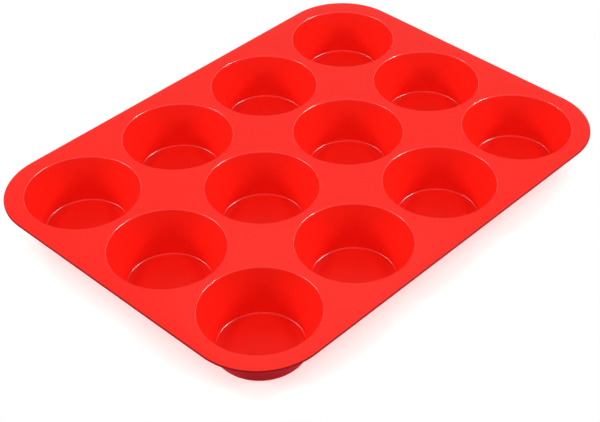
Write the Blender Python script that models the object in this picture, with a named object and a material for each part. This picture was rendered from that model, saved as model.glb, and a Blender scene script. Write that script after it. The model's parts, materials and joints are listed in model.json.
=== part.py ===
"""Silicone muffin pan: one thin moulding, drawn as the regions of it that move against each other.

The deck is four strips with a narrow fold web between each two, where the pan bends. Each cup is a tapered
wall with a rolled lip, and a round floor that a thumb pushes up from below to let the muffin out.
Units are metres and +Z is up. +X runs along the pan's long side, and the origin is in the middle of the
pan, on the surface that it stands on.
"""

import math

import bmesh
import bpy
from mathutils import Matrix, Vector

# Driving dimensions of the pan
columns = 4
rows = 3
column_bridge = 0.0073
row_bridge = 0.0058
pan_height = 0.0300
skin = 0.0016
deck_margin = 0.0110
corner_radius = 0.0440
fold_width = 0.0030
seam_gap = 0.0003

# Driving dimensions of one cup, all inside it
mouth_radius = 0.0345
base_radius = 0.0260
base_round = 0.0025
lip_under_round = 0.0009
lip_land = 0.0004
push_radius = 0.0225

# How finely round shapes are drawn
turn_steps = 28
corner_steps = 8
lip_steps = 3
base_steps = 2
under_steps = 2
sharp_angle = math.radians(35)

# How far a cutter runs past the deck on each side
overrun = 0.0020

# A cup's wall leans out by this angle from upright, and its two roundings share one turn
wall_lean = math.atan2(mouth_radius - base_radius, pan_height - skin)
half_turn = (math.pi / 2 - wall_lean) / 2

# The lip rolls over from the wall to the deck, and its underside is one skin further in
lip_round = lip_under_round + skin
lip_radius = mouth_radius + lip_round * math.tan(half_turn)
seam_radius = lip_radius + lip_land
hole_radius = seam_radius + seam_gap

# The flat part of a cup's floor ends where the rounding to its wall starts
flat_radius = base_radius - base_round * math.tan(half_turn)
ring_radius = push_radius + seam_gap

# A bridge of flat deck is left between two lips, the wider one between two columns, where the pan bends
column_pitch = 2 * lip_radius + column_bridge
row_pitch = 2 * lip_radius + row_bridge

# The deck reaches one margin past the lips of its outer cups
deck_half_length = (columns - 1) / 2 * column_pitch + lip_radius + deck_margin
deck_half_width = (rows - 1) / 2 * row_pitch + lip_radius + deck_margin
deck_low = pan_height - skin

# The pan bends about the middle of its deck's thickness, and the strip of this column stays still
bend_height = pan_height - skin / 2
root_column = (columns - 1) // 2

row_letters = "abcdefgh"


def clear_scene():
    for old in list(bpy.data.objects):
        bpy.data.objects.remove(old, do_unlink=True)


def silicone(name, colour, roughness):
    """A plain silicone rubber of one colour, with no metal in it."""
    material = bpy.data.materials.new(name)
    material.use_nodes = True
    shader = material.node_tree.nodes["Principled BSDF"]
    shader.inputs["Base Color"].default_value = (*colour, 1.0)
    shader.inputs["Roughness"].default_value = roughness
    shader.inputs["Metallic"].default_value = 0.0
    return material


def empty(name, place, parent=None):
    """A marker on a joint's axis, which carries all that turns with it."""
    marker = bpy.data.objects.new(name, None)
    bpy.context.scene.collection.objects.link(marker)
    put(marker, place, parent)
    return marker


def put(obj, place, parent=None):
    """Hangs an object on its parent, at a place given in the pan's own frame."""
    obj.location = Vector(place)
    if parent is not None:
        obj.parent = parent
        obj.location = Vector(place) - world_place(parent)


def world_place(obj):
    """Where an object's origin is, up through its parents, none of which is turned."""
    place = Vector(obj.location)
    while obj.parent is not None:
        obj = obj.parent
        place += obj.location
    return place


def mesh_from(bm, name, material=None):
    bmesh.ops.recalc_face_normals(bm, faces=bm.faces)
    mesh = bpy.data.meshes.new(name)
    bm.to_mesh(mesh)
    bm.free()
    if material is not None:
        mesh.materials.append(material)
    mesh.shade_smooth()
    mesh.set_sharp_from_angle(angle=sharp_angle)
    return mesh


def add_object(name, mesh, place, parent):
    obj = bpy.data.objects.new(name, mesh)
    bpy.context.scene.collection.objects.link(obj)
    put(obj, place, parent)
    return obj


def column_x(column):
    return (column - (columns - 1) / 2) * column_pitch


def row_y(row):
    return (row - (rows - 1) / 2) * row_pitch


def fold_x(fold):
    """The line on which the pan bends, half way between two columns of cups."""
    return column_x(fold) + column_pitch / 2


def arc(centre, radius, start, end, steps):
    """Points on an arc in the (r, z) plane, from one angle to another."""
    points = []
    for step in range(steps + 1):
        angle = start + (end - start) * step / steps
        points.append((centre[0] + radius * math.cos(angle), centre[1] + radius * math.sin(angle)))
    return points


def wall_profile():
    """One closed outline in (r, z), from the lip down the wall's inside and back up its outside."""
    lip_centre = (lip_radius, pan_height - lip_round)
    base_centre = (flat_radius, skin + base_round)
    up = math.pi / 2
    down = -math.pi / 2
    at_lip = math.pi - wall_lean
    at_base = -wall_lean
    points = [(seam_radius, pan_height)]
    points += arc(lip_centre, lip_round, up, at_lip, lip_steps)
    points += arc(base_centre, base_round, at_base, down, base_steps)
    points += [(ring_radius, skin), (ring_radius, 0.0)]
    points += arc(base_centre, base_round + skin, down, at_base, base_steps)
    points += arc(lip_centre, lip_under_round, at_lip, up, under_steps)
    points += [(seam_radius, deck_low)]
    return points


def cup_wall_mesh(material):
    """The profile spun once round the cup's axis, which stands at the mesh's origin."""
    bm = bmesh.new()
    corners = [bm.verts.new((r, 0.0, z)) for r, z in wall_profile()]
    edges = [bm.edges.new((a, b)) for a, b in zip(corners, corners[1:] + corners[:1])]
    bmesh.ops.spin(
        bm,
        geom=corners + edges,
        axis=(0.0, 0.0, 1.0),
        cent=(0.0, 0.0, 0.0),
        angle=2 * math.pi,
        steps=turn_steps,
        use_merge=True,
    )
    return mesh_from(bm, "cup_wall", material)


def disc(bm, radius, low, high, centre=(0.0, 0.0)):
    """A round plate between two heights."""
    middle = Vector((*centre, (low + high) / 2))
    bmesh.ops.create_cone(
        bm,
        cap_ends=True,
        segments=turn_steps,
        radius1=radius,
        radius2=radius,
        depth=high - low,
        matrix=Matrix.Translation(middle),
    )


def cup_floor_mesh(material):
    bm = bmesh.new()
    disc(bm, push_radius, 0.0, skin)
    return mesh_from(bm, "cup_floor", material)


def plate(x_low, x_high, round_low, round_high):
    """A flat plate of the deck's skin and full width, with the corners at its low or high end rounded."""
    bm = bmesh.new()
    outline = [
        (x_low, -deck_half_width),
        (x_high, -deck_half_width),
        (x_high, deck_half_width),
        (x_low, deck_half_width),
    ]
    corners = [bm.verts.new((x, y, deck_low)) for x, y in outline]
    bm.faces.new(corners)
    outer = corners[0::3] * round_low + corners[1:3] * round_high
    if outer:
        bmesh.ops.bevel(
            bm,
            geom=outer,
            offset=corner_radius,
            affect="VERTICES",
            segments=corner_steps,
            profile=0.5,
            material=-1,
        )
    raised = bmesh.ops.extrude_face_region(bm, geom=bm.faces[:], use_keep_orig=True)
    top = [item for item in raised["geom"] if isinstance(item, bmesh.types.BMVert)]
    bmesh.ops.translate(bm, verts=top, vec=(0.0, 0.0, skin))
    return bm


def strip_ends(column):
    """Where a strip starts and ends along X: at the deck's edge, or one gap short of a fold web."""
    clear = fold_width / 2 + seam_gap
    x_low = -deck_half_length if column == 0 else fold_x(column - 1) + clear
    x_high = deck_half_length if column == columns - 1 else fold_x(column) - clear
    return x_low, x_high


def deck_strip(column, material, parent):
    """A strip of deck with one round hole for each cup in its column."""
    x_low, x_high = strip_ends(column)
    outline = plate(x_low, x_high, column == 0, column == columns - 1)
    mesh = mesh_from(outline, f"deck_strip_{column + 1}", material)
    strip = add_object(mesh.name, mesh, (0.0, 0.0, 0.0), parent)

    holes = bmesh.new()
    for row in range(rows):
        disc(holes, hole_radius, deck_low - overrun, pan_height + overrun, (column_x(column), row_y(row)))
    cutter = add_object(f"holes_{column + 1}", mesh_from(holes, "holes"), (0.0, 0.0, 0.0), parent)
    cutter.hide_render = True
    cutter.display_type = "WIRE"

    cut = strip.modifiers.new("cup holes", "BOOLEAN")
    cut.operation = "DIFFERENCE"
    cut.solver = "EXACT"
    cut.object = cutter
    return strip


def fold_web(fold, material, parent):
    """The narrow band that bends between two strips, as wide as the deck."""
    bm = bmesh.new()
    size = Matrix.Diagonal((fold_width, 2 * deck_half_width, skin, 1.0))
    bmesh.ops.create_cube(bm, size=1.0, matrix=size)
    mesh = mesh_from(bm, f"fold_web_{fold + 1}", material)
    return add_object(mesh.name, mesh, (fold_x(fold), 0.0, bend_height), parent)


def carriers():
    """The pan's own empty for the strip that stays, and one on its fold's axis for each other strip."""
    found = {root_column: empty("pan", (0.0, 0.0, 0.0))}
    for column in range(root_column - 1, -1, -1):
        axis_place = (fold_x(column), 0.0, bend_height)
        found[column] = empty(f"fold_axis_{column + 1}", axis_place, found[column + 1])
    for column in range(root_column + 1, columns):
        axis_place = (fold_x(column - 1), 0.0, bend_height)
        found[column] = empty(f"fold_axis_{column}", axis_place, found[column - 1])
    return found


def build_pan():
    clear_scene()
    deck_red = silicone("deck silicone", (1.00, 0.040, 0.030), 0.45)
    wall_red = silicone("cup wall silicone", (0.95, 0.020, 0.012), 0.40)
    floor_red = silicone("cup floor silicone", (0.90, 0.018, 0.010), 0.40)
    fold_red = silicone("fold silicone", (1.00, 0.040, 0.030), 0.45)

    carrier = carriers()
    wall = cup_wall_mesh(wall_red)
    floor = cup_floor_mesh(floor_red)
    for column in range(columns):
        deck_strip(column, deck_red, carrier[column])
        for row in range(rows):
            cup = f"{row_letters[row]}{column + 1}"
            place = (column_x(column), row_y(row), 0.0)
            add_object(f"cup_wall_{cup}", wall, place, carrier[column])
            add_object(f"cup_floor_{cup}", floor, place, carrier[column])
    for fold in range(columns - 1):
        inner = fold if fold >= root_column else fold + 1
        fold_web(fold, fold_red, carrier[inner])
    bpy.context.view_layer.update()
    print(f"deck {2 * deck_half_length:.4f} by {2 * deck_half_width:.4f} m, lip radius {lip_radius:.4f} m")


build_pan()
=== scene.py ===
# %% [markdown]
# # A silicone muffin pan
#
# The real pan is one thin sheet of red silicone rubber, pressed in a mould. A flat deck with rounded
# corners carries a grid of round tapered cups, and all of it is soft: the deck bends between the cups, and
# a thumb pushes a cup's floor up to let a muffin out.
#
# The imported model that this script loads holds the pan at its real size, with its joints. This script
# gives it its looks. The skin is modelled once more, finely, and cut where the pan moves. The strips of
# deck, the cups and their floors ride on the bodies that carry them, and no cut shows while the pan is flat.

# %% Load the frame
import json
import math

import bmesh
import bpy
from mathutils import Matrix, Vector


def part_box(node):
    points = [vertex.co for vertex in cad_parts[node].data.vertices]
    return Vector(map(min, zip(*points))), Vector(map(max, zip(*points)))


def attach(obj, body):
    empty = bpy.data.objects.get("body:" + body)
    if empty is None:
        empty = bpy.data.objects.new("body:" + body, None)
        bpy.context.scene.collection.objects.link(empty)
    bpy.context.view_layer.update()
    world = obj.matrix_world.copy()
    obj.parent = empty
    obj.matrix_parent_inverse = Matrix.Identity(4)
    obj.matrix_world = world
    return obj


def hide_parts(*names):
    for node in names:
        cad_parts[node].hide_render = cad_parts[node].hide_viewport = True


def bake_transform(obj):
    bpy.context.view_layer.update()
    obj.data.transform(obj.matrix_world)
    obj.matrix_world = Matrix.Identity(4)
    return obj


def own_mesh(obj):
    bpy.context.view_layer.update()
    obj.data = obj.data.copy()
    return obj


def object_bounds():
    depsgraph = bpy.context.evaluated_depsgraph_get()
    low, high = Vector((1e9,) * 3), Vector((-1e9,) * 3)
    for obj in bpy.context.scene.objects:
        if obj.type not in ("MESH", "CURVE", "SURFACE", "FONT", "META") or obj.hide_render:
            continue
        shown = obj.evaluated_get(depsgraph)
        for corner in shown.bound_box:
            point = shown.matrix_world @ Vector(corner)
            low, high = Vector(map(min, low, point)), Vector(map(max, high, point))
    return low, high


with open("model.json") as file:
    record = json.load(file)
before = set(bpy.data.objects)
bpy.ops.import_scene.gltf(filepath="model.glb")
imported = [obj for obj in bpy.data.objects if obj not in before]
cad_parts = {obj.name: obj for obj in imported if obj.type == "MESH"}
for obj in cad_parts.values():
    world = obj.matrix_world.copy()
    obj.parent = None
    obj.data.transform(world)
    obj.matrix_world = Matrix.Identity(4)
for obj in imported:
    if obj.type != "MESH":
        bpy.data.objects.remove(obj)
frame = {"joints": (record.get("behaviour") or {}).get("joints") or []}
cad_low, cad_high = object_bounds()

# %% [markdown]
# ## Sizes
#
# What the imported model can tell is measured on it: the deck's outline and thickness, the middle of each
# cup, and where the disc starts that a thumb pushes. The two solids of such a seam stand a hair apart.
# Here they meet in the middle of that gap, so the skin is whole.

# %% Measure the deck
deck_top = cad_high.z
skin = deck_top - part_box("deck_strip_1")[0].z
half_length = (cad_high.x - cad_low.x) / 2
half_width = (cad_high.y - cad_low.y) / 2
columns = 4
row_letters = "abc"
print(f"deck {2 * half_length:.4f} by {2 * half_width:.4f} m, skin {skin:.4f} m, height {deck_top:.4f} m")


# %% Measure the cups
def middle(node):
    """The middle of a solid, seen from above."""
    low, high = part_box(node)
    return Vector(((low.x + high.x) / 2, (low.y + high.y) / 2, 0.0))


cups = [f"{letter}{column + 1}" for letter in row_letters for column in range(columns)]
cup_middles = {cup: middle(f"cup_wall_{cup}") for cup in cups}
seam_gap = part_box("fold_web_1")[0].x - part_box("deck_strip_1")[1].x
floor_low, floor_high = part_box("cup_floor_a1")
floor_seam = (floor_high.x - floor_low.x + seam_gap) / 2
fold_lines = [middle(f"fold_web_{fold + 1}").x for fold in range(columns - 1)]
print(f"{len(cups)} cups, each with a floor seam {floor_seam:.5f} m from its middle")

# %% [markdown]
# The roundings can't be read off a box, so they are given here: the small crisp roll of the lip, the
# rounding between wall and floor, and the round edge of the deck. A fine mesh only needs many steps where
# it curves. Next to each rounding a thin supporting band keeps the flat face beside it flat, because a
# smooth-shaded flat face borrows the tilt of its neighbours. The deck and a cup meet on flat skin, just
# outside the cup's lip.

# %% Sizes of the roundings
mouth_radius = 0.0363
base_radius = 0.0268
base_round = 0.0013
lip_round = 0.0009
lip_land = 0.0002
under_base_round = 0.0029
under_lip_round = 0.0004
corner_radius = 0.0440
edge_round = 0.0006
fold_reach = 0.0018
floor_arch = 0.00025
support_band = 0.0003
print("lip, foot and edge roundings:", lip_round, base_round, edge_round)

# %% How finely they are drawn
turn_steps = 144
corner_steps = 32
lip_steps = 12
base_steps = 10
under_steps = 5
arch_steps = 6
edge_steps = 5
bend_steps = 14
round_profile = 0.5
sharp_angle = math.radians(35)
merge_distance = 1e-7
cut_tolerance = 1e-7
print("a cup has", turn_steps, "steps round its axis")

# %% [markdown]
# Faces are told apart by the last figure of their normal. It is 1 for a face that looks straight up, 0 for
# an upright one, and -1 for one that looks straight down.

# %% Limits for telling faces apart
level_from = 0.5
# Deck faces that tilt further from straight up than this, and are not underneath, get the edge's painted
# shade.
edge_shade_below = 0.92
underside_from = -0.7
hole_margin = 1.05
print("a face is level when its normal rises or falls by more than", level_from)

# %% [markdown]
# The wall's lean follows from the radii of the mouth and the base. Each rounding fits into the corner
# between two straight runs, so its centre is worked out from half of the angle that it turns through.

# %% Where the roundings sit
wall_lean = math.atan2(mouth_radius - base_radius, deck_top - skin)
half_turn = (math.pi / 2 - wall_lean) / 2
lip_radius = mouth_radius + lip_round * math.tan(half_turn)
flat_radius = base_radius - base_round * math.tan(half_turn)
under_lip_radius = mouth_radius + (skin + under_lip_round) * math.tan(half_turn)
under_flat_radius = base_radius + (skin - under_base_round) * math.tan(half_turn)
lip_seam = under_lip_radius + lip_land
print(f"the wall leans {math.degrees(wall_lean):.1f} degrees, and its lip starts {lip_radius:.5f} m out")

# %% [markdown]
# ## Making a mesh
#
# Each shape is built in a bmesh with Blender's own operators. These helpers turn a finished bmesh into an
# object at the origin: faces outwards, smooth shading, and sharp edges only where faces meet at a real
# angle.


# %% From bmesh to object
def finished(bm, name, materials):
    bmesh.ops.remove_doubles(bm, verts=bm.verts[:], dist=merge_distance)
    bmesh.ops.recalc_face_normals(bm, faces=bm.faces[:])
    mesh = bpy.data.meshes.new(name)
    bm.to_mesh(mesh)
    bm.free()
    for material in materials:
        mesh.materials.append(material)
    mesh.shade_smooth()
    mesh.set_sharp_from_angle(angle=sharp_angle)
    made = bpy.data.objects.new(name, mesh)
    bpy.context.scene.collection.objects.link(made)
    return made


def arc(centre, radius, start, end, steps):
    """Points on an arc in the (r, z) plane, from one angle to another."""
    angles = [start + (end - start) * step / steps for step in range(steps + 1)]
    return [(centre[0] + radius * math.cos(angle), centre[1] + radius * math.sin(angle)) for angle in angles]


def with_support(start, end):
    """Two points on a straight run, one support band in from each end of it."""
    run = Vector(end) - Vector(start)
    inwards = run.normalized() * support_band
    return [tuple(Vector(start) + inwards), tuple(Vector(end) - inwards)]


print("helpers: finished, arc, with_support")

# %% [markdown]
# ## Shader maths
#
# A material's formula is easier to read as a sum than as a web of nodes. `Wire` holds one output socket,
# and plus, minus and times on it add the Math node that works them out. Every other node comes from
# `node`, which also takes the stops of a colour ramp as one of its settings.


# %% A wire that can be added and multiplied
class Wire:
    def __init__(self, tree, socket=None):
        self.tree = tree
        self.socket = socket

    def node(self, kind, settings=None, inputs=None, out=0):
        """Adds a node: first its settings, then a value or wire for each input. Gives an output's wire."""
        made = self.tree.nodes.new(kind)
        for name, value in (settings or {}).items():
            if name == "stops":
                set_stops(made.color_ramp, value)
            else:
                setattr(made, name, value)
        for name, value in (inputs or {}).items():
            if isinstance(value, Wire):
                self.tree.links.new(value.socket, made.inputs[name])
            else:
                made.inputs[name].default_value = value
        return Wire(self.tree, made.outputs[out] if made.outputs else None)

    def math(self, operation, first, second):
        return self.node("ShaderNodeMath", {"operation": operation}, {0: first, 1: second})

    def __add__(self, other):
        return self.math("ADD", self, other)

    def __sub__(self, other):
        return self.math("SUBTRACT", self, other)

    def __rsub__(self, other):
        return self.math("SUBTRACT", other, self)

    def __mul__(self, other):
        return self.math("MULTIPLY", self, other)

    __radd__ = __add__
    __rmul__ = __mul__

    def or_more(self, other):
        return self.math("MAXIMUM", self, other)


def set_stops(ramp, stops):
    """Gives a colour ramp its stops, each a place from 0 to 1 and the colour there."""
    for place, _ in stops[1:-1]:
        ramp.elements.new(place)
    for element, (place, colour) in zip(ramp.elements, stops):
        element.position = place
        element.color = colour


def empty_tree(owner):
    """The node tree of a material or world, with its nodes taken out."""
    owner.use_nodes = True
    owner.node_tree.nodes.clear()
    return Wire(owner.node_tree)


print("shader maths ready")

# %% [markdown]
# ## Red silicone
#
# Silicone takes its colour all the way through, and its skin copies the mould. So the red is nearly even,
# and what the eye reads is the sheen. Three things vary, all slowly or very finely: the red is a touch
# deeper in soft patches, the sheen is uneven where the mould was polished by hand, and the surface has a
# fine grain. The pan is also soft, so broad flat places are never quite flat: a long shallow wave tilts
# them a little.
#
# The upper side is the smooth half of the mould. It has a clear gloss on the lips and where a wall turns
# into the floor, which draws a thin bright line round each cup. The underside and the deck's edge are dull,
# and their red is painted darker and cooler as shade; the edge's red is darker still, a painted dark line.
#
# All patterns read Object coordinates. Every piece stands at the origin, so a pattern runs on from one
# piece to the next with no seam.

# %% The reds
fresh_red = (0.95, 0.0160, 0.0080, 1.0)
deep_red = (0.92, 0.0140, 0.0070, 1.0)
# The underside's reds are the upper side's red painted darker and cooler: painted shade.
under_shade_red = (0.55, 0.0024, 0.0130, 1.0)
deep_under_shade_red = (0.51, 0.0021, 0.0120, 1.0)
# The edge's red is painted darker still: painted shade that draws a dark line round the deck.
edge_shade_red = (0.30, 0.0022, 0.0080, 1.0)
print("reds of the upper side", fresh_red[:3], deep_red[:3])

# %% Sheen and gloss
silicone_ior = 1.41
cup_roughness = 0.30
deck_roughness = 0.42
under_roughness = 0.50
sheen_range = 0.06
deck_gloss = 0.07
foot_gloss = 0.55
gloss_roughness = 0.12
print("roughness in a cup", cup_roughness, "and on the deck", deck_roughness)

# %% Unevenness
# Each kind of noise: its scale, and how many finer layers it has
patch_noise = (34.0, 2.0)
sheen_noise = (60.0, 3.0)
wave_noise = (28.0, 1.0)
grain_noise = (2600.0, 2.0)
noise_middle = 0.5
wave_depth = 0.00010
grain_depth = 0.000006
print("the deck waves by up to", wave_depth, "m")

# %% Heights at which a finish starts or ends
lip_foot = deck_top - lip_round * (1 - math.sin(wall_lean))
wall_foot = skin + base_round * (1 - math.sin(wall_lean))
gloss_fade = 0.0004
flat_fade = 0.00015
under_deck_top = 0.00002
over_floor = 0.00003
print("the lips' gloss starts at", round(lip_foot, 5), "m, and the feet's ends at", round(wall_foot, 5), "m")

# %% Sockets that are found by number
# Texture Coordinate's fourth output is Object, and a Mix node's colours are its later sockets
object_coordinates = 3
mix_factor = 0
mix_first = 6
mix_second = 7
mix_result = 2
print("Mix: colours in", (mix_first, mix_second), "and out", mix_result)


# %% The silicone material
def silicone(name, fresh, deep, in_cup, on_deck, specular, polish):
    """Red silicone, as rough as said in a cup and on the deck. Polish is the gloss of lips and feet."""
    material = bpy.data.materials.new(name)
    tree = empty_tree(material)
    place = tree.node("ShaderNodeTexCoord", out=object_coordinates)

    def noise(scale, detail):
        return tree.node("ShaderNodeTexNoise", inputs={"Vector": place, "Scale": scale, "Detail": detail})

    colours = {mix_factor: noise(*patch_noise), mix_first: fresh, mix_second: deep}
    colour = tree.node("ShaderNodeMix", {"data_type": "RGBA"}, colours, out=mix_result)
    height = tree.node("ShaderNodeSeparateXYZ", inputs={"Vector": place}, out="Z")

    def above(start, end):
        """0 below the start height, 1 above the end height, and smooth between them."""
        span = {"Value": height, "From Min": start, "From Max": end}
        return tree.node("ShaderNodeMapRange", {"interpolation_type": "SMOOTHSTEP"}, span)

    at_deck = above(deck_top - flat_fade, deck_top - under_deck_top)
    at_lip = above(lip_foot - gloss_fade, lip_foot) - at_deck
    at_foot = above(skin + over_floor, skin + flat_fade) - above(wall_foot, wall_foot + gloss_fade)
    sheen = in_cup + (on_deck - in_cup) * at_deck
    sheen = sheen + sheen_range * (noise(*sheen_noise) - noise_middle)
    gloss = polish * (at_lip + foot_gloss * at_foot + deck_gloss * at_deck)
    relief = wave_depth * noise(*wave_noise) + grain_depth * noise(*grain_noise)
    normal = tree.node("ShaderNodeBump", inputs={"Height": relief, "Strength": 1.0, "Distance": 1.0})
    surface = tree.node(
        "ShaderNodeBsdfPrincipled",
        inputs={
            "Base Color": colour,
            "Roughness": sheen,
            "Normal": normal,
            "IOR": silicone_ior,
            "Specular IOR Level": specular,
            "Coat Weight": gloss,
            "Coat Roughness": gloss_roughness,
        },
    )
    tree.node("ShaderNodeOutputMaterial", inputs={"Surface": surface})
    return material


print("silicone ready")


# %% The four finishes
smooth_side = (fresh_red, deep_red, cup_roughness, deck_roughness)
# Both dull finishes carry painted shade in their darker reds.
dull_shaded_side = (under_shade_red, deep_under_shade_red, under_roughness, under_roughness)
dark_shaded_edge = (edge_shade_red, edge_shade_red, under_roughness, under_roughness)
upper_skin = silicone("silicone upper side", *smooth_side, specular=0.14, polish=0.9)
floor_skin = silicone("silicone cup floor", *smooth_side, specular=0.05, polish=0.0)
under_shade_skin = silicone("silicone underside painted shade", *dull_shaded_side, specular=0.06, polish=0.0)
edge_shade_skin = silicone("silicone edge painted shade", *dark_shaded_edge, specular=0.10, polish=0.0)
print("materials:", [finish.name for finish in (upper_skin, floor_skin, under_shade_skin, edge_shade_skin)])

# %% [markdown]
# ## A cup
#
# A cup is round, so it is one closed outline of its skin, spun once round its middle. The outline starts
# on the deck's flat top, rolls over the lip, runs down the leaning wall, rounds into the floor and stops
# where the thumb's disc of floor starts. From there it comes back along the outside, one skin further out.
# The faces of the outside, and the cut face of the seam in the floor, get the underside's material, whose
# darker red is painted shade.


# %% The outline of a cup's skin
def cup_outline():
    """The points of the closed outline in (r, z): down the upper side, and back up the lower side."""
    lip_centre = (lip_radius, deck_top - lip_round)
    base_centre = (flat_radius, skin + base_round)
    under_lip_centre = (under_lip_radius, deck_top - skin - under_lip_round)
    under_base_centre = (under_flat_radius, under_base_round)
    at_lip = math.pi - wall_lean
    at_base = -wall_lean
    up = math.pi / 2
    down = -math.pi / 2

    lip = arc(lip_centre, lip_round, up, at_lip, lip_steps)
    base = arc(base_centre, base_round, at_base, down, base_steps)
    under_base = arc(under_base_centre, under_base_round, down, at_base, base_steps)
    under_lip = arc(under_lip_centre, under_lip_round, at_lip, up, under_steps)

    floor_edge = (floor_seam, skin)
    upper_side = [(lip_seam, deck_top)] + lip + with_support(lip[-1], base[0]) + base
    upper_side += [with_support(base[-1], floor_edge)[0], floor_edge]
    lower_side = [(floor_seam, 0.0)] + under_base + with_support(under_base[-1], under_lip[0]) + under_lip
    lower_side += [(lip_seam, deck_top - skin)]
    return upper_side + lower_side


outline_points = cup_outline()
print(len(outline_points), "points in a cup's outline")


# %% Spin the outline
def cup_wall(cup):
    bm = bmesh.new()
    verts = [bm.verts.new((r, 0.0, z)) for r, z in outline_points]
    edges = [bm.edges.new(pair) for pair in zip(verts, verts[1:] + verts[:1])]
    bmesh.ops.spin(
        bm,
        geom=verts + edges,
        axis=(0.0, 0.0, 1.0),
        cent=(0.0, 0.0, 0.0),
        angle=2 * math.pi,
        steps=turn_steps,
        use_merge=True,
    )
    bmesh.ops.recalc_face_normals(bm, faces=bm.faces[:])
    for face in bm.faces:
        face.material_index = int(is_outside(face))
    bmesh.ops.translate(bm, verts=bm.verts[:], vec=cup_middles[cup])
    return finished(bm, f"cup_{cup}_wall", (upper_skin, under_shade_skin))


def is_outside(face):
    """True for a face that points down or away from the axis, and for the cut face at the floor's seam."""
    middle_point = face.calc_center_median()
    outwards = Vector((middle_point.x, middle_point.y, 0.0))
    if outwards.length < floor_seam or face.normal.z < -level_from:
        return True
    return face.normal.dot(outwards) > 0 and face.normal.z < level_from


walls = {cup: cup_wall(cup) for cup in cups}
print(len(walls), "cup walls of", len(walls["a1"].data.polygons), "faces each")

# %% [markdown]
# ## A cup's floor
#
# The disc that a thumb pushes is arched by a quarter of a millimetre, so that the pan stands on the rings
# round its cups and not on their middles. It is spun from its half section, and its edge is level, so it
# runs on into the ring round it.


# %% Spin the floor
def arch(height, step):
    """A point on the arched top or bottom of the floor, from its middle at step 0 to its level edge."""
    share = step / arch_steps
    rise = floor_arch * (1 + math.cos(math.pi * share)) / 2
    return (floor_seam * share, height + rise)


def cup_floor(cup):
    top = [arch(skin, step) for step in range(arch_steps + 1)]
    bottom = [arch(0.0, step) for step in range(arch_steps, -1, -1)]
    bm = bmesh.new()
    verts = [bm.verts.new((r, 0.0, z)) for r, z in top + bottom]
    edges = [bm.edges.new(pair) for pair in zip(verts, verts[1:])]
    bmesh.ops.spin(
        bm,
        geom=verts + edges,
        axis=(0.0, 0.0, 1.0),
        cent=(0.0, 0.0, 0.0),
        angle=2 * math.pi,
        steps=turn_steps,
        use_merge=True,
    )
    bmesh.ops.remove_doubles(bm, verts=bm.verts[:], dist=merge_distance)
    bmesh.ops.recalc_face_normals(bm, faces=bm.faces[:])
    for face in bm.faces:
        face.material_index = int(face.normal.z < level_from)
    bmesh.ops.translate(bm, verts=bm.verts[:], vec=cup_middles[cup])
    return finished(bm, f"cup_{cup}_floor", (floor_skin, under_shade_skin))


floors = {cup: cup_floor(cup) for cup in cups}
print(len(floors), "cup floors of", len(floors["a1"].data.polygons), "faces each")

# %% [markdown]
# ## The deck
#
# The deck is made whole and then cut, so that all its pieces share one round edge. A rectangle gets its
# corners rounded by a vertex bevel. An inset leaves a rim along the edge, the face inside it is taken out,
# and a filled web of triangles takes its place, with one round hole for each cup. The sheet is extruded to
# its thickness, and the two outer edges are bevelled.


# %% Make the deck whole
def whole_deck():
    bm = bmesh.new()
    signs = ((-1, -1), (1, -1), (1, 1), (-1, 1))
    corners = [bm.verts.new((a * half_length, b * half_width, deck_top - skin)) for a, b in signs]
    bm.faces.new(corners)
    bmesh.ops.bevel(
        bm,
        geom=corners,
        offset=corner_radius,
        affect="VERTICES",
        segments=corner_steps,
        profile=round_profile,
        material=-1,
    )
    outline = bm.faces[:]
    bmesh.ops.inset_region(bm, faces=outline, thickness=edge_round + support_band, use_even_offset=True)
    inner_edges = list(outline[0].edges)
    bmesh.ops.delete(bm, geom=outline, context="FACES_ONLY")
    for cup in cups:
        place = Matrix.Translation(cup_middles[cup] + Vector((0.0, 0.0, deck_top - skin)))
        ring = bmesh.ops.create_circle(bm, segments=turn_steps, radius=lip_seam, matrix=place)
        inner_edges += list({edge for vert in ring["verts"] for edge in vert.link_edges})
    bmesh.ops.triangle_fill(bm, use_beauty=True, edges=inner_edges)
    raised = bmesh.ops.extrude_face_region(bm, geom=bm.faces[:], use_keep_orig=True)
    top = [item for item in raised["geom"] if isinstance(item, bmesh.types.BMVert)]
    bmesh.ops.translate(bm, verts=top, vec=(0.0, 0.0, skin))
    bmesh.ops.recalc_face_normals(bm, faces=bm.faces[:])
    bmesh.ops.bevel(
        bm,
        geom=[edge for edge in bm.edges if on_outer_rim(edge)],
        offset=edge_round,
        affect="EDGES",
        segments=edge_steps,
        profile=round_profile,
        material=-1,
    )
    return bm


def on_outer_rim(edge):
    """True for the level edges where the deck's outer side meets its top or its bottom."""
    level = [abs(face.normal.z) > level_from for face in edge.link_faces]
    if level.count(True) != 1 or level.count(False) != 1:
        return False
    return not any(at_hole(vert) for vert in edge.verts)


def at_hole(vert):
    """True for a vertex on the edge of one of the round holes."""
    reach = hole_margin * lip_seam
    return any((vert.co - centre).xy.length <= reach for centre in cup_middles.values())


deck = whole_deck()
print("whole deck:", len(deck.faces), "faces")
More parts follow.
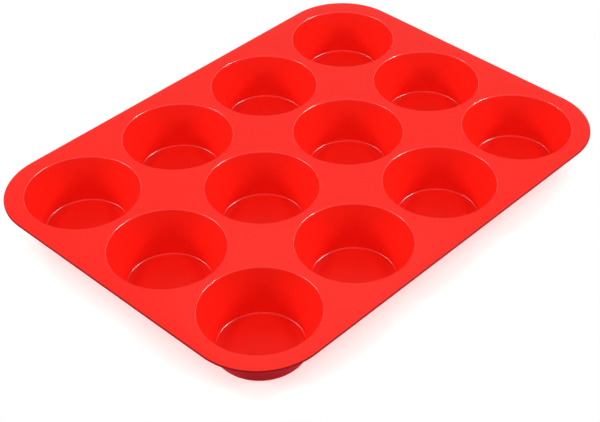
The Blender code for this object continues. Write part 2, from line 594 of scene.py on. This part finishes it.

# %% [markdown]
# ## Cutting the deck where it bends
#
# Two cuts on each side of a fold line part the deck into four strips and three narrow webs. A strip rides
# with its column of cups. A web lies between two strips and gets extra cuts across it, as a hinge of many
# small leaves. Each cut face is closed again.


# %% Cut out a piece
def slice_of_deck(name, x_low, x_high, leaves=1):
    bm = deck.copy()
    for x, inwards in ((x_low, 1.0), (x_high, -1.0)):
        if x is None:
            continue
        cut = bmesh.ops.bisect_plane(
            bm,
            geom=bm.verts[:] + bm.edges[:] + bm.faces[:],
            dist=cut_tolerance,
            plane_co=(x, 0.0, 0.0),
            plane_no=(-inwards, 0.0, 0.0),
            clear_outer=True,
        )
        cut_edges = [item for item in cut["geom_cut"] if isinstance(item, bmesh.types.BMEdge)]
        bmesh.ops.edgeloop_fill(bm, edges=cut_edges)
    for leaf in range(1, leaves):
        x = x_low + (x_high - x_low) * leaf / leaves
        bmesh.ops.bisect_plane(
            bm,
            geom=bm.verts[:] + bm.edges[:] + bm.faces[:],
            dist=cut_tolerance,
            plane_co=(x, 0.0, 0.0),
            plane_no=(1.0, 0.0, 0.0),
        )
    bmesh.ops.recalc_face_normals(bm, faces=bm.faces[:])
    for face in bm.faces:
        face.material_index = deck_finish(face)
    return finished(bm, name, (upper_skin, under_shade_skin, edge_shade_skin))


def deck_finish(face):
    """The number of the face's material: 0 on top, 1 underneath, and 2 round the edge; 1 and 2 have painted
    shade.
    """
    if face.normal.z > edge_shade_below:
        return 0
    return 1 if face.normal.z < underside_from else 2


strip_ends = [None] + [x for line in fold_lines for x in (line - fold_reach, line + fold_reach)] + [None]
strips = {}
for column in range(columns):
    ends = strip_ends[2 * column], strip_ends[2 * column + 1]
    strips[column + 1] = slice_of_deck(f"deck_{column + 1}", *ends)
webs = {}
for fold, line in enumerate(fold_lines, 1):
    webs[fold] = slice_of_deck(f"fold_{fold}", line - fold_reach, line + fold_reach, bend_steps)
deck.free()
for piece in [*strips.values(), *webs.values()]:
    print(piece.name, len(piece.data.polygons), "faces")

# %% [markdown]
# ## What moves with what
#
# A strip of deck and its cups ride on the strip's body. A floor rides on its own body, which the thumb
# pushes up. The wall of that cup has to give way by as much as the floor rises; here only the share of its
# height that it keeps is worked out. The webs are baked where they stand and ride on no body.

# %% How far a pushed wall is squashed
joints = {joint["name"]: joint for joint in frame["joints"]}


def kept_share(cup):
    """How much of its height a cup's wall keeps when its floor is pushed all the way up."""
    travel = max(joints[f"push_{cup}"]["range_m"])
    return 1 - travel / (deck_top - skin)


print("a pushed cup's wall keeps", round(kept_share("a1"), 3), "of its height")

# %% Hang the pieces on their bodies
for column, strip in strips.items():
    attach(strip, f"strip_{column}")
    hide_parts(f"deck_strip_{column}")
for fold, web in webs.items():
    line = fold_lines[fold - 1]
    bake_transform(web)
    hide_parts(f"fold_web_{fold}")
for cup in cups:
    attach(walls[cup], f"strip_{cup[1:]}")
    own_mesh(walls[cup])
    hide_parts(f"cup_wall_{cup}")
    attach(floors[cup], f"floor_{cup}")
    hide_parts(f"cup_floor_{cup}")

# %% [markdown]
# ## The camera
#
# The view was worked out from the pan itself: the round lips and the deck's outline fix where the camera
# stood. Its place is given as a direction and a distance from a point on the deck.

# %% Place the camera
image_width = 600
sensor_width = 36.0
focal_pixels = 1421.92
middle_pixel_x = 344.1
camera_azimuth = math.radians(-47.488)
camera_elevation = math.radians(39.653)
camera_roll = math.radians(0.174)
camera_distance = 0.87536
aim_point = Vector((-0.02297, -0.05445, deck_top))

back = Vector(
    (
        math.sin(camera_azimuth) * math.cos(camera_elevation),
        -math.cos(camera_azimuth) * math.cos(camera_elevation),
        math.sin(camera_elevation),
    )
)
level_right = Vector((math.cos(camera_azimuth), math.sin(camera_azimuth), 0.0))
level_up = back.cross(level_right)
right = math.cos(camera_roll) * level_right + math.sin(camera_roll) * level_up
upwards = math.cos(camera_roll) * level_up - math.sin(camera_roll) * level_right

lens = bpy.data.cameras.new("camera")
lens.sensor_width = sensor_width
lens.lens = sensor_width * focal_pixels / image_width
lens.shift_x = (image_width / 2 - middle_pixel_x) / image_width
camera = bpy.data.objects.new("camera", lens)
turn = Matrix((right, upwards, back)).transposed().to_4x4()
camera.matrix_world = Matrix.Translation(aim_point + camera_distance * back) @ turn
bpy.context.scene.collection.objects.link(camera)
bpy.context.scene.camera = camera
print(f"lens {lens.lens:.1f} mm, shift {lens.shift_x:.3f}")

# %% [markdown]
# ## The floor
#
# The pan stands on a studio's white sweep. The floor and the world are plain white to the camera and in
# reflections. Most of the floor's white is a glow and the rest is light that falls on it, so the pan's
# shadow stays pale. To the camera the lit part's colour is over-bright and red-tinted, which paints that
# pale shadow pink, while open floor clips to white. Under a red pan a white floor gets red light, and the
# glow paints it in: its colour is a painted shadow, a little red where the Ambient Occlusion node finds
# the pan close by, and deep red below the deck, between the cups.
#
# Away from the pan the floor looks just like the world behind it, so there it is left clear. It is also
# clear from below, and it casts no shadow. Where the pan bends down through the floor, a second Ambient
# Occlusion node, which looks down, finds the pan below, and the floor is clear there too. It takes many
# samples, because seen from the floor the pan fills only a small part of what lies below. So the pan can
# be seen from every side and in every bend.


# %% What shows as white
def light_path(tree, kind):
    """1 for the rays of that kind, and 0 for others."""
    return tree.node("ShaderNodeLightPath", out=kind)


def seen_as_backdrop(tree):
    """1 for a ray from the camera, or one that a glossy or clear surface sends on, and 0 for other light."""
    seen = light_path(tree, "Is Camera Ray")
    seen = seen.or_more(light_path(tree, "Is Glossy Ray"))
    return seen.or_more(light_path(tree, "Is Transmission Ray"))


print("the backdrop is white to camera, glossy and transmission rays")

# %% Colours and reach of the floor
floor_size = 2.4
floor_cells = 8
floor_white = (0.85, 0.85, 0.85, 1.0)
# The camera's floor colour is over-bright and tinted red: it paints the pan's pale shadow pink.
floor_seen_shade_pink = (3.00, 2.00, 1.93, 1.0)
plain_white = (1.0, 1.0, 1.0, 1.0)
shadow_pink = (0.98, 0.80, 0.79, 1.0)
shadow_red = (0.35, 0.04, 0.04, 1.0)
glow_share = 0.72
pan_reach = 0.05
# The glow's stops paint the pan's shadow: deep red under the pan, pale pink at its edge, white away from it.
painted_shadow_stops = ((0.05, shadow_red), (0.25, shadow_pink), (0.42, shadow_pink), (0.56, plain_white))
clear_from = 0.62
clear_to = 0.75
bend_reach = 0.3
bend_samples = 48
bend_gain = 100.0
print("the floor's glow is tinted up to", pan_reach, "m from the pan")

# %% The floor's material
floor_material = bpy.data.materials.new("white sweep")
tree = empty_tree(floor_material)
to_camera = light_path(tree, "Is Camera Ray")
floor_colours = {mix_factor: to_camera, mix_first: floor_white, mix_second: floor_seen_shade_pink}
floor_colour = tree.node("ShaderNodeMix", {"data_type": "RGBA"}, floor_colours, out=mix_result)
lit = tree.node("ShaderNodeBsdfDiffuse", inputs={"Color": floor_colour})
openness = tree.node("ShaderNodeAmbientOcclusion", inputs={"Distance": pan_reach}, out="AO")
glow_with_painted_shadow = tree.node("ShaderNodeValToRGB", {"stops": painted_shadow_stops}, {"Fac": openness}, out="Color")
glow = tree.node("ShaderNodeEmission", inputs={"Color": glow_with_painted_shadow, "Strength": 1.0})
shown = tree.node("ShaderNodeMixShader", inputs={0: glow_share, 1: lit, 2: glow})
print("white sweep: a glow over a lit floor")

# %% Where the floor is clear
away_span = {"Value": openness, "From Min": clear_from, "From Max": clear_to}
away_from_pan = tree.node("ShaderNodeMapRange", {"interpolation_type": "SMOOTHSTEP"}, away_span)
below = {"inside": True, "samples": bend_samples}
room_below = tree.node("ShaderNodeAmbientOcclusion", below, {"Distance": bend_reach}, out="AO")
bent_through = bend_gain * (1 - room_below)
from_below = tree.node("ShaderNodeNewGeometry", out="Backfacing")
clear = tree.node("ShaderNodeBsdfTransparent")
shown = tree.node("ShaderNodeMixShader", inputs={0: bent_through, 1: shown, 2: clear})
shown = tree.node("ShaderNodeMixShader", inputs={0: away_from_pan.or_more(from_below), 1: shown, 2: clear})
unseen = tree.node("ShaderNodeMixShader", inputs={0: from_below, 1: lit, 2: clear})
mixed = tree.node("ShaderNodeMixShader", inputs={0: seen_as_backdrop(tree), 1: unseen, 2: shown})
tree.node("ShaderNodeOutputMaterial", inputs={"Surface": mixed})
print("white sweep:", len(floor_material.node_tree.nodes), "nodes")

# %% Lay the floor
bm = bmesh.new()
bmesh.ops.create_grid(bm, x_segments=floor_cells, y_segments=floor_cells, size=floor_size / 2)
studio_floor = finished(bm, "studio_floor", (floor_material,))
studio_floor.visible_shadow = False
print("floor", floor_size, "m across")

# %% [markdown]
# ## World and lamps
#
# Matte shading and gloss want different lamps. The shading is soft: it comes from the world's even white
# and from four long softboxes to the left and right, which leave the far middle of each cup a little
# darker. The gloss is a thin bright line on a lip or at the foot of a wall, and each line mirrors one
# small patch of the studio. If one lamp gave both, a stronger line would also wash out the deck. So each
# lamp here gives one of the two, which its ray visibility sets: a shading lamp isn't seen by glossy rays,
# and a gloss lamp isn't seen by diffuse rays.

# %% The world
fill_strength = 0.46
world = bpy.data.worlds.new("studio")
bpy.context.scene.world = world
tree = empty_tree(world)
fill = tree.node("ShaderNodeBackground", inputs={"Color": plain_white, "Strength": fill_strength})
backdrop = tree.node("ShaderNodeBackground", inputs={"Color": plain_white, "Strength": 1.0})
mixed = tree.node("ShaderNodeMixShader", inputs={0: seen_as_backdrop(tree), 1: fill, 2: backdrop})
tree.node("ShaderNodeOutputWorld", inputs={"Surface": mixed})
print("world fill", fill_strength)


# %% A softbox
lamp_distance = 1.6


def softbox(name, gives, azimuth, elevation, size, power, distance=lamp_distance):
    """A lamp that faces the pan and gives it shading or gloss. Azimuth 0 is on the pan's -Y side."""
    a = math.radians(azimuth)
    e = math.radians(elevation)
    towards_lamp = Vector((math.sin(a) * math.cos(e), -math.cos(a) * math.cos(e), math.sin(e)))
    data = bpy.data.lights.new(name, "AREA")
    data.shape = "RECTANGLE"
    data.size, data.size_y = size
    data.energy = power
    lamp = bpy.data.objects.new(name, data)
    lamp.visible_diffuse = gives == "shading"
    lamp.visible_glossy = gives == "gloss"
    turn = towards_lamp.to_track_quat("Z", "Y").to_matrix().to_4x4()
    lamp.matrix_world = Matrix.Translation(towards_lamp * distance) @ turn
    bpy.context.scene.collection.objects.link(lamp)
    return lamp


print("a softbox stands", lamp_distance, "m from the pan")

# %% Shading lamps
low_size = (0.9, 0.2)
high_size = (0.4, 0.12)
softbox("low left softbox", "shading", azimuth=-130.0, elevation=24.0, size=low_size, power=11.0)
softbox("low right softbox", "shading", azimuth=36.0, elevation=24.0, size=low_size, power=10.5)
softbox("high left softbox", "shading", azimuth=-130.0, elevation=55.0, size=high_size, power=4.0)
softbox("high right softbox", "shading", azimuth=36.0, elevation=55.0, size=high_size, power=4.0)
print("four shading lamps, the long ones", low_size, "m")

# %% Gloss lamps
side_size = (0.7, 0.45)
back_size = (0.3, 0.3)
back_distance = 0.6
softbox("left gloss", "gloss", azimuth=-147.0, elevation=46.0, size=side_size, power=10.0)
softbox("right gloss", "gloss", azimuth=53.0, elevation=46.0, size=side_size, power=34.0)
softbox("back gloss", "gloss", 133.0, 60.0, size=back_size, power=0.35, distance=back_distance)
print("three gloss lamps, the side ones", side_size, "m")

# %% Show colours as they are
bpy.context.scene.view_settings.view_transform = "Standard"
print("view transform:", bpy.context.scene.view_settings.view_transform)
